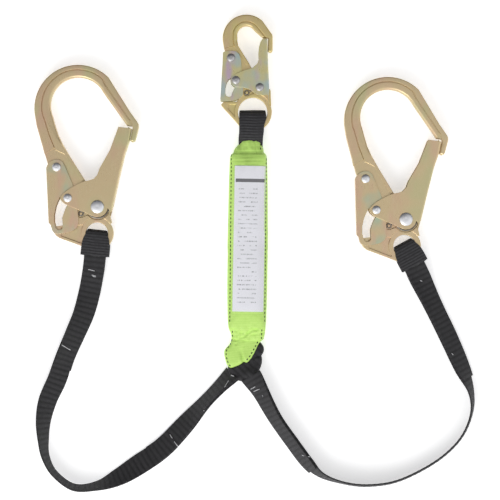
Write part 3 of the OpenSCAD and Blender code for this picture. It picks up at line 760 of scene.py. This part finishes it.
def coverRelief(spot, normal):
    x, y = spot.x / mm, spot.y / mm
    ends, inside, neck = ramp(104 - abs(y), 3), ramp(20 - abs(x), 2), ramp(abs(y) - 102, 4)
    broad, fine = rucks["neck"]
    height = neck * (broad * wrinkle(x, y, 0.19, 0.07, 7) + fine * wrinkle(x, y, 0.45, 0.2, 9))
    height -= ridge(y, rucks["tuck"], rucks["tuckWide"])
    if normal.z > 0.2:
        sewn = sum(ridge(x, seamLine(y, side), rucks["grooveWide"]) for side in (-1, 1))
        height -= ends * rucks["groove"] * sewn
        height += ends * rucks["sag"] * wrinkle(x, y, 0.05, 0.03, 5)
        if y > rucks["from"]:
            turn = 2 * math.pi * y / rucks["top"]["pitch"] + wrinkle(x, y, 0.06, 0.1, 2)
            height += rucks["top"]["high"] * ends * inside * math.sin(turn)
        if y < -rucks["from"]:
            turn = 2 * math.pi * y / rucks["foot"]["pitch"] + 2 * wrinkle(x, y, 0.05, 0.1, 3)
            height += rucks["foot"]["high"] * ends * inside * math.sin(turn)
        if y < rucks["gathered"]:
            height += folded(x, y)
    return height * mm


mouth = {"from": 110, "middle": 3.8, "half": 14.5, "drop": 3.4}  # the top edge is lower at its sides


def coverMouth(spot):
    x, y = spot.x / mm, spot.y / mm
    share = max(0.0, (y - mouth["from"]) / (cover["end"] - mouth["from"]))
    return -mouth["drop"] * mm * min(1.0, abs((x - mouth["middle"]) / mouth["half"])) ** 3 * share


def makeCover():
    bm = bmesh.new()
    rings, uvs = [], []
    count = round(2 * cover["end"] / cover["ring"])
    for k in range(count + 1):
        y = cover["end"] * (1 - 2 * k / count)
        left, right, low, high = between(cover["sections"], y)
        inset = cover["shrink"] * min(1.0, max(0.0, (110 - abs(y)) / 6))
        box = (left + inset, right - inset, low + inset * 0.8, high - inset)
        section = roundedBox(*box, cover["corner"], cover["around"])
        rings.append([Vector((x, y, z)) * mm for x, z in section])
        around = 2 * (right - left + high - low) / cover["around"]
        uvs.append([(around * i * mm, y * mm) for i in range(cover["around"])])
    skin(bm, rings, uvs)
    piece = addPiece("cover_sleeve", toMesh("cover_sleeve", bm, 60), looks["lime_fabric"])
    inflate(piece, lambda spot: abs(spot.y) > cover["held"] * mm)
    subdivide(piece)
    for vertex in piece.data.vertices:
        relief = vertex.normal * coverRelief(vertex.co, vertex.normal)
        vertex.co += relief + Vector((0, coverMouth(vertex.co), 0))
        vertex.co.z = max(vertex.co.z, cover["floor"] * mm)
    return wear(piece, "lime_fabric", "pack_cover")


def wear(piece, slot, *nodes):
    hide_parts(*nodes)
    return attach(piece, "pack")


coverPiece = makeCover()
print("stage: cover")


# paper label and the clear film over it, both laid on the cover
label = {"middle": (0.0019, 0.002), "lean": -1.0, "size": (0.037, 0.174), "lift": 0.0004, "grid": (24, 100)}
film = {"grow": 0.0016, "lift": 0.0008, "shader": {"Alpha": 0.08, "Specular IOR Level": 0.9}}


def layOn(name, tree, grow, lift, material):
    turn = math.radians(label["lean"])
    width, length = (size + grow for size in label["size"])
    wide, long = label["grid"]
    bm = bmesh.new()
    rings, uvs = [], []
    for j in range(long + 1):
        ring, spots = [], []
        for i in range(wide + 1):
            u, v = width * (i / wide - 0.5), length * (j / long - 0.5)
            spot = Matrix.Rotation(turn, 2) @ Vector((u, v))
            ring.append(dropOn(tree, label["middle"][0] + spot.x, label["middle"][1] + spot.y, lift))
            spots.append((u, v))
        rings.append(ring)
        uvs.append(spots)
    for k in range(1, long):
        for i in range(wide + 1):
            rings[k][i].z = (rings[k - 1][i].z + rings[k + 1][i].z) / 2 * 0.6 + rings[k][i].z * 0.4
    skin(bm, rings, uvs, closed=False, capped=False)
    mesh = toMesh(name, bm, 60)
    if mesh.polygons[0].normal.z < 0:
        mesh.flip_normals()
    return addPiece(name, mesh, material)


def makePrint():
    tree, given, out = newGroup(
        "printed card",
        [
            ("Place", "NodeSocketVector", (0, 0, 0)),
            ("Paper", "NodeSocketColor", (0.88, 0.88, 0.93, 1)),
            ("Ink", "NodeSocketColor", (0.06, 0.06, 0.07, 1)),
            ("Row", "NodeSocketFloat", 0.0052),
        ],
        [("Color", "NodeSocketColor"), ("Roughness", "NodeSocketFloat"), ("Height", "NodeSocketFloat")],
    )
    split = tree.nodes.new("ShaderNodeSeparateXYZ")
    tree.links.new(given["Place"], split.inputs[0])
    across, along = split.outputs[0], split.outputs[1]

    def inside(value, low, high):
        above, below = calc(tree, "GREATER_THAN", value, low), calc(tree, "LESS_THAN", value, high)
        return calc(tree, "MULTIPLY", above, below)

    band = calc(tree, "MULTIPLY", inside(along, 0.0675, 0.0717), inside(across, -0.0172, 0.0182))
    row = calc(tree, "FRACT", calc(tree, "DIVIDE", along, given["Row"]))
    strokes = clouds(tree, stretched(tree, given["Place"], (1500, 170, 1)), 1.0, 1.0)
    words = clouds(tree, stretched(tree, given["Place"], (150, 190, 1)), 1.0, 0.0)
    block = calc(tree, "MULTIPLY", inside(along, -0.079, 0.064), inside(across, -0.0135, 0.0095))
    lines = calc(tree, "MULTIPLY", inside(row, 0.3, 0.55), remap(tree, strokes, 0.42, 0.58))
    gaps = remap(tree, words, 0.4, 0.48, 0.0, 0.75)
    printed = calc(tree, "MULTIPLY", calc(tree, "MULTIPLY", lines, block), gaps)
    share = calc(tree, "MAXIMUM", printed, calc(tree, "MULTIPLY", band, 0.93))
    tone = clouds(tree, given["Place"], 30.0, 1.0)
    paper = mixed(tree, remap(tree, tone, 0.3, 0.7, 0.0, 0.2), given["Paper"], (0.68, 0.69, 0.71, 1))
    inked, rough = mixed(tree, share, paper, given["Ink"]), remap(tree, share, 0.0, 1.0, 0.5, 0.35)
    for label, value in (("Color", inked), ("Roughness", rough), ("Height", tone)):
        tree.links.new(value, out[label])
    return tree


looks["label_film"] = finish("printed card", makePrint(), {}, place="UV", bump=0.0001, strength=0.2)
looks["clear_film"] = finish("clear film", groups["plating"], clearTones, film["shader"], bump=0.00005)
bed = surfaceOf(coverPiece)
card = layOn("label_card", bed, 0.0, label["lift"], looks["label_film"])
wear(card, "label_film", "label")
pane = layOn("label_pane", bed, film["grow"], film["lift"], looks["clear_film"])
wear(pane, "clear_film", "label_window")
print("stage: label")


# webbing loops through the hooks' eyes: each is one strap folded over, wide plies outside
loopCloth = {
    "thick": 0.0026, "flat": 15, "rib": 0.0033, "ribHigh": 0.0005, "slant": 0.12, "bow": 0.0,
    "wander": 0.0008, "grain": (90, 60, 1), "step": 0.8,
}
loopPath = [  # y, z, left, right in millimetres
    (108, 15.2, -10.5, 18), (118, 16.6, -10.8, 18.4), (124, 18.6, -10.6, 18.8), (130, 19.7, -10, 19.6),
    (138, 19.9, -10, 20.2), (146, 19.4, -10, 22.6), (151, 18.2, -10, 22.4), (154.3, 15.2, -9.8, 21.8),
    (155.2, 13, -9.8, 21.6), (154.3, 10.8, -9.8, 21.8), (151, 7.8, -10, 22.2), (146, 6.6, -10, 22.2),
    (138, 6.1, -10, 20.2), (130, 6.3, -10, 19.6), (124, 7.4, -10.6, 18.8), (118, 9.3, -10.8, 18.4),
    (108, 10.8, -10.5, 18),
]


def makeStrap(name, line, strap, fray=0.0):
    bm = bmesh.new()
    rings, uvs, run = [], [], 0.0
    for k, (at, across, width) in enumerate(line):
        back, ahead = line[max(k - 1, 0)][0], line[min(k + 1, len(line) - 1)][0]
        run += (at - back).length if k else 0.0
        up = across.cross(ahead - back).normalized()
        sample = {"at": at, "across": across, "up": up, "width": width, "run": run, "high": 1.0}
        ring, spots = ribbonRing(sample, strap)
        if fray and k in (0, len(line) - 1):
            heading = (ahead - back).normalized()
            ring = [p + heading * fray * wrinkle(u, k, 260, 1, 3) for p, (u, _) in zip(ring, spots)]
        rings.append(ring)
        uvs.append(spots)
    skin(bm, rings, uvs)
    return addPiece(name, toMesh(name, bm, 50), looks["black_flat"])


topLine = [
    (Vector(((left + right) / 2, y, z)) * mm, Vector((1, 0, 0)), (right - left) * mm)
    for y, z, left, right in smoothLine(loopPath, loopCloth["step"])
]
wear(makeStrap("top_webbing_loop", topLine, loopCloth), "black_webbing", "top_loop")

padCloth = {
    "thick": 0.002, "flat": 15, "rib": 0.0031, "ribHigh": 0.0004, "slant": 0.05, "bow": -13.0,
    "wander": 0.0008, "grain": (90, 60, 1),
}
padShape = {
    "reach": -27, "fold": -2.4, "radius": 6.4, "foot": 34, "waist": 27.5, "throat": 23.6,
    "swell": 0.5, "pinch": 0.3, "steps": 30, "foldSteps": 16, "fray": 2.2,
}
padTurn = {"left": -6.0, "right": 28.6}  # degrees, along each leg's last stretch


def makePad(side):
    eye = Vector(joints[side + "_hook_swing"]["pos_m"])
    turn = math.radians(padTurn[side])
    across = Vector((math.cos(turn), math.sin(turn), 0))
    upward = Vector((-across.y, across.x, 0))
    half = []
    for i in range(padShape["steps"] + 1):
        share = i / padShape["steps"]
        s = padShape["reach"] + (padShape["fold"] - padShape["reach"]) * share
        width = padShape["foot"] + (padShape["waist"] - padShape["foot"]) * share ** 4
        bulge = padShape["swell"] * math.sin(math.pi * share) - padShape["pinch"] * (1 - share)
        half.append((s, padShape["radius"] + bulge, width))
    arc, radius = [], padShape["radius"]
    for i in range(1, padShape["foldSteps"]):
        t = math.pi * (0.5 - i / padShape["foldSteps"])
        width = padShape["waist"] + (padShape["throat"] - padShape["waist"]) * math.cos(t)
        arc.append((padShape["fold"] + radius * math.cos(t), radius * math.sin(t), width))
    whole = half + arc + [(s, -height, width) for s, height, width in reversed(half)]
    line = [(eye + upward * s * mm + Vector((0, 0, z)) * mm, across, width * mm) for s, z, width in whole]
    piece = makeStrap(side + "_pad_sleeve", line, padCloth, padShape["fray"] * mm)
    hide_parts(side + "_wear_pad")
    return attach(piece, side + "_leg")


padPieces = {side: makePad(side) for side in legs}
print("stage: loops and wear pads")


# lime lobe at the pack's foot and the black webbing eye under it
def lineSide(x, y, a, b):
    return ((b[0] - a[0]) * (y - a[1]) - (b[1] - a[1]) * (x - a[0])) / math.dist(a, b)


def lobeRelief(x, y, share):  # a crease down the middle, pinched folds at the neck and a flat sewn edge
    far, along = nearLine(x, y, -8.4, -132, -4.2, -146)
    crease = -(1.0 + 1.4 * along) * math.exp(-((far / 1.5) ** 2))
    lips = 0.7 * along * ridge(far, 3.2, 1.8)
    neck = ramp(y + 126, 8)
    folds = neck * 0.8 * wrinkle(x, y, 0.16, 0.3, 6) + folded(x, y)
    edge = -0.5 * ridge(share, 0.9, 0.03)
    inner = crease + lips + folds + 0.5 * wrinkle(x, y, 0.09, 0.09, 8)
    return inner * (1 - share ** 8) + edge * (1 - neck)


def eyeRelief(x, y, share):  # webbing ribs over a knuckle, with the part under the lobe tucked down
    run = x * math.cos(legEye["grain"]) + y * math.sin(legEye["grain"])
    ribs = 0.55 * abs(math.sin(math.pi * run / 5.8))
    rise = 4.2 * ridge(x, 4, 9) * ridge(y, -160, 7)
    under = min(lineSide(x, y, (-1, -148), (15, -121)), lineSide(x, y, (-21, -154), (-3.5, -146)))
    tucked = 6 * ramp(under + 0.6, 2.4)
    dent = -1.6 * ridge(nearLine(x, y, 16.5, -137.6, 9, -139.5)[0], 0, 1.6)
    return (ribs + rise + dent + 0.6 * wrinkle(x, y, 0.11, 0.11, 4) - tucked) * (1 - share ** 10)


lobe = {
    "outline": [
        (-15, -106), (-18.6, -114), (-20.6, -123), (-27, -130.5), (-28, -136), (-26.4, -144), (-24, -150),
        (-20, -153), (-14, -151.5), (-8.5, -149), (-4.3, -145.8), (-1, -147.3), (4, -143), (8, -137),
        (11, -130), (14.2, -123), (18, -119), (18.2, -113), (15, -106),
    ],
    "middle": (-4, -128), "low": 5.5, "high": 18.6, "grain": 0.1, "relief": lobeRelief,
}
legEye = {
    "outline": [
        (14, -121), (18.6, -126), (19.8, -131), (18.6, -135.5), (16.9, -138), (17.6, -143), (16.6, -150),
        (13.4, -158), (12.6, -165), (16, -172), (2, -171), (-18, -166), (-22, -160), (-23, -150),
        (-14, -140), (0, -126), (8, -120),
    ],
    "middle": (2, -146), "low": 5, "high": 16, "grain": 0.75, "relief": eyeRelief,
}
pillow = {
    "around": 110, "flat": 11,
    "shares": (0.04, 0.12, 0.2, 0.28, 0.36, 0.44, 0.52, 0.6, 0.68, 0.75, 0.82, 0.88, 0.93, 0.965, 0.988, 1),
}


def makePillow(name, node, form, look):  # rings shrink to the middle over a flat dome
    wrapped = form["outline"][-2:] + form["outline"] + form["outline"][:2]
    fine = smoothLine(wrapped, 0.8)
    first = next(i for i, p in enumerate(fine) if math.dist(p, form["outline"][0]) < 0.01)
    last = max(i for i, p in enumerate(fine) if math.dist(p, form["outline"][0]) < 0.01)
    edge = evenly([tuple(p) for p in fine[first:last]], pillow["around"])
    mx, my = form["middle"]
    level, half = (form["low"] + form["high"]) / 2, (form["high"] - form["low"]) / 2
    grain = Matrix.Rotation(form["grain"], 2)
    bm = bmesh.new()
    rings, uvs = [], []
    for sign in (-1, 1):
        for share in pillow["shares"] if sign < 0 else reversed(pillow["shares"]):
            dome = math.sqrt(max(0.0, 1 - share ** pillow["flat"]))
            ring, spots = [], []
            for x, y in edge:
                px, py = mx + (x - mx) * share, my + (y - my) * share
                relief = form["relief"](px, py, share) if sign > 0 else 0.0
                ring.append(Vector((px, py, level + sign * dome * half + relief)) * mm)
                spots.append(grain @ Vector((px, py)) * mm)
            rings.append(ring)
            uvs.append(spots)
    skin(bm, rings, uvs)
    return wear(addPiece(name, toMesh(name, bm, 60), looks[look]), look, node)


lobePiece = makePillow("lobe_cover", "bottom_loop", lobe, "lime_fabric")
eyePiece = makePillow("leg_webbing_eye", "leg_eye", legEye, "black_webbing")
print("stage: pack's foot")


# stitching: short thread dashes laid on whatever is under them
thread = {"pitch": 4.7, "dash": 2.6, "thick": 0.62, "sink": 0.15}
tack = {"pitch": 1.3, "dash": 1.25, "thick": 0.42, "sink": 0.0}
dashForm = ((0, 0.35), (0.12, 0.8), (0.5, 1.0), (0.88, 0.8), (1, 0.35))  # width along a dash


def dashRow(bm, points, tree, row):
    line = smoothLine(points, 0.3)
    runs = [0.0]
    for a, b in zip(line, line[1:]):
        runs.append(runs[-1] + math.dist(a, b))
    at = 0.0
    while at + row["dash"] * 0.8 <= runs[-1]:
        ends = []
        for target in (at, at + row["dash"] / 2, min(at + row["dash"], runs[-1])):
            k = min(sum(1 for run in runs if run <= target), len(line) - 1)
            spot = dropOn(tree, line[k][0] * mm, line[k][1] * mm, (row["thick"] * 0.5 - row["sink"]) * mm)
            ends.append(spot)
        if None not in ends:
            dash(bm, ends, row["thick"] * mm)
        at += row["pitch"]


def dash(bm, ends, r):
    heading = (ends[2] - ends[0]).normalized()
    side = heading.cross(Vector((0, 0, 1))).normalized()
    up = side.cross(heading)
    rings = []
    turns = [math.pi * i / 4 for i in range(8)]
    for share, wide in dashForm:
        spot = ends[0].lerp(ends[1], share * 2) if share <= 0.5 else ends[1].lerp(ends[2], share * 2 - 1)
        high = 0.4 + 0.4 * wide
        rings.append([spot + (side * math.cos(t) * wide + up * math.sin(t) * high) * r for t in turns])
    skin(bm, rings)


def sew(name, rows, beds, row, look, body="pack"):
    bm = bmesh.new()
    tree = surfaceOf(*beds)
    for points in rows:
        dashRow(bm, points, tree, row)
    piece = addPiece(name, toMesh(name, bm, 60), looks[look])
    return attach(piece, body)


seams = [  # down both sides of the sleeve, at its mouth and foot, and round the lobe; in millimetres
    *([(seamLine(y, side), y) for y in (103, 60, 20, -20, -60, -101)] for side in (-1, 1)),
    [(15.6, 116), (15.5, 107)], [(-18.2, -108), (-18, -117)], [(17.2, -106), (16.6, -119)],
    [(-18.4, -118), (-20, -123.5), (-24.6, -130.5), (-25.6, -136.5), (-24.2, -143.6), (-22, -149),
     (-19.4, -150.8)],
    [(12.4, -121), (9.3, -127), (6, -133), (2.6, -138.8), (-1.4, -143.6)],
]
sew("seam_stitching", seams, (coverPiece, lobePiece), thread, "seam_thread")
packTacks = [  # single white threads where the legs leave the pack
    [(-20, -161.4), (-16, -162.6)], [(-22.6, -167.6), (-27.4, -175.4)], [(17.4, -185.6), (18.8, -186.6)],
    [(3.6, -178.7), (9.2, -175.2)], [(7.2, -181.4), (14.6, -177.8)],
]
sew("eye_tacks", packTacks, (*legPieces.values(), eyePiece), tack, "white_thread")
legTacks = {
    "left": [
        [(-191, -34.6), (-183, -36.6)], [(-187, -41.4), (-181, -42.8)], [(-186, -42.8), (-181.6, -43.8)],
        [(-222.4, -125), (-212, -132)], [(-52.6, -203), (-51.4, -203.8)], [(-93.4, -233), (-90, -238)],
        [(-88, -241), (-83, -247)],
    ],
    "right": [
        [(65, -257), (68.4, -257.8)], [(72, -258), (74.8, -258.6)], [(207, -48), (210, -49)],
        [(244.4, -135), (246.6, -137.4)],
    ],
}
for side in legs:
    beds = (legPieces[side], padPieces[side])
    sew(side + "_leg_tacks", legTacks[side], beds, tack, "white_thread", side + "_leg")
print("stage: stitching")


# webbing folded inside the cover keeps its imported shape
for node in ("tear_webbing", "backup_strap"):
    data = frame["nodes"][node].data
    data.materials.clear()
    data.materials.append(looks["raw_webbing"])


# floor, lights and a pale surround
studio = {
    "half": 4.0, "below": 0.0004, "floor": 0.9, "glow": 0.5, "surround": 1.0,
    "front": 1.0, "back": 0.1, "between": ((0.5, 0.85), (0.7, 0.25)),  # the surround's tones, front to back
    "lights": (("key", (-0.7, -1.5, 1.5), 1.2, 16), ("fill", (1.3, 0.5, 1.8), 1.6, 3)),
}


def makeStudio():
    bm = bmesh.new()
    corners = [(x * studio["half"], y * studio["half"]) for x, y in ((-1, -1), (1, -1), (1, 1), (-1, 1))]
    bm.faces.new([bm.verts.new((x, y, -studio["below"])) for x, y in corners])
    made = bpy.data.materials.new("pale floor")
    made.use_nodes = True
    main = made.node_tree.nodes["Principled BSDF"]
    main.inputs["Base Color"].default_value = (studio["floor"],) * 3 + (1,)
    main.inputs["Roughness"].default_value = 0.9
    main.inputs["Specular IOR Level"].default_value = 0.1
    main.inputs["Emission Color"].default_value = (1, 1, 1, 1)
    main.inputs["Emission Strength"].default_value = studio["glow"]
    addPiece("floor", toMesh("floor", bm), made)
    world = bpy.data.worlds.new("studio")
    world.use_nodes = True
    scene.world = world
    tree = world.node_tree
    back = tree.nodes["Background"]
    sky = tree.nodes.new("ShaderNodeValToRGB")
    split = tree.nodes.new("ShaderNodeSeparateXYZ")
    tree.links.new(tree.nodes.new("ShaderNodeTexCoord").outputs["Generated"], split.inputs[0])
    tree.links.new(remap(tree, split.outputs[1], -0.9, 0.9), sky.inputs[0])
    tree.links.new(sky.outputs[0], back.inputs[0])
    sky.color_ramp.elements[0].color = (studio["front"],) * 3 + (1,)
    sky.color_ramp.elements[1].color = (studio["back"], studio["back"], studio["back"] * 1.1, 1)
    for spot, tone in studio["between"]:
        sky.color_ramp.elements.new(spot).color = (tone, tone, tone * 1.02, 1)
    back.inputs[1].default_value = studio["surround"]
    for name, spot, size, power in studio["lights"]:
        data = bpy.data.lights.new(name, "AREA")
        data.size, data.energy = size, power
        light = bpy.data.objects.new(name, data)
        light.location = spot
        light.rotation_euler = (-Vector(spot)).to_track_quat("-Z", "Y").to_euler()
        scene.collection.objects.link(light)


makeStudio()
scene.view_settings.view_transform = "Standard"
print("stage: studio")
